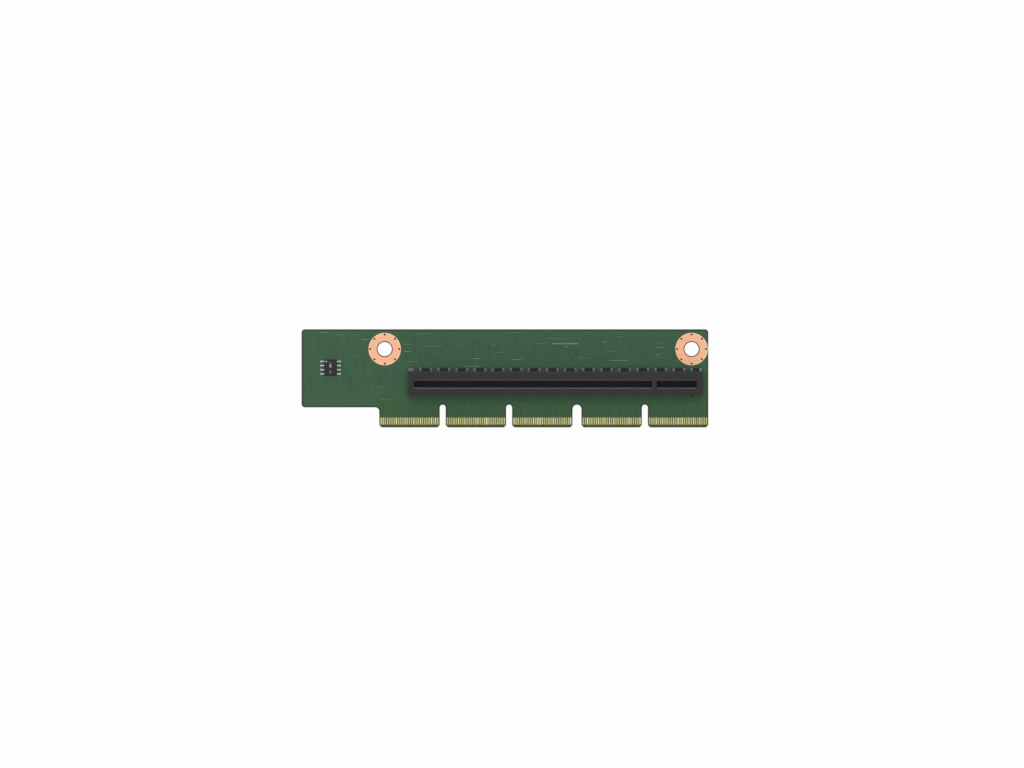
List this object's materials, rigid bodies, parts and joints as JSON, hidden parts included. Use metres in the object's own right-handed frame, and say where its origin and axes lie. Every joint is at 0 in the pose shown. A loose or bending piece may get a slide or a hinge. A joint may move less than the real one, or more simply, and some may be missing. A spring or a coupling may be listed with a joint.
{
  "type": "pcie riser card",
  "caption": "Flat server riser card: a green circuit board with keyed edge-contact tongues, one upright black x16 card slot, two ringed mounting holes and a small chip.",
  "frame": {"origin": "on the board's rear face, under the middle of the board's outline", "axes": "+X along the board towards the slot's short section, +Y from the mating edge to the top edge, +Z out of the face that carries the slot"},
  "size_m": [0.1234, 0.0298, 0.0128],
  "materials": {
    "solder_mask": "satin green solder mask over glass-epoxy laminate, with faint traces",
    "housing_plastic": "matte black glass-filled moulding",
    "gold_plating": "bright gold plating",
    "bare_copper": "satin coated copper with a paler outer rim and small dark via holes",
    "contact_metal": "stamped spring alloy, plated at the contact bump",
    "chip_plastic": "matte dark moulding compound",
    "tinned_lead": "bright tin",
    "solder": "reflowed solder"
  },
  "bodies": {
    "root": {"chip_body": "chip_plastic", "chip_leads_left": "tinned_lead", "chip_leads_right": "tinned_lead", "chip_solder_left": "solder", "chip_solder_right": "solder", "circuit_board": "solder_mask", "front_fingers_tongue_1": "gold_plating", "front_fingers_tongue_2": "gold_plating", "front_fingers_tongue_3": "gold_plating", "front_fingers_tongue_4": "gold_plating", "front_fingers_tongue_5": "gold_plating", "lower_contacts_long": "contact_metal", "lower_contacts_short": "contact_metal", "mounting_land_left": "bare_copper", "mounting_land_right": "bare_copper", "rear_fingers_tongue_1": "gold_plating", "rear_fingers_tongue_2": "gold_plating", "rear_fingers_tongue_3": "gold_plating", "rear_fingers_tongue_4": "gold_plating", "rear_fingers_tongue_5": "gold_plating", "slot_housing": "housing_plastic", "upper_contacts_long": "contact_metal", "upper_contacts_short": "contact_metal"}
  },
  "joints": []
}
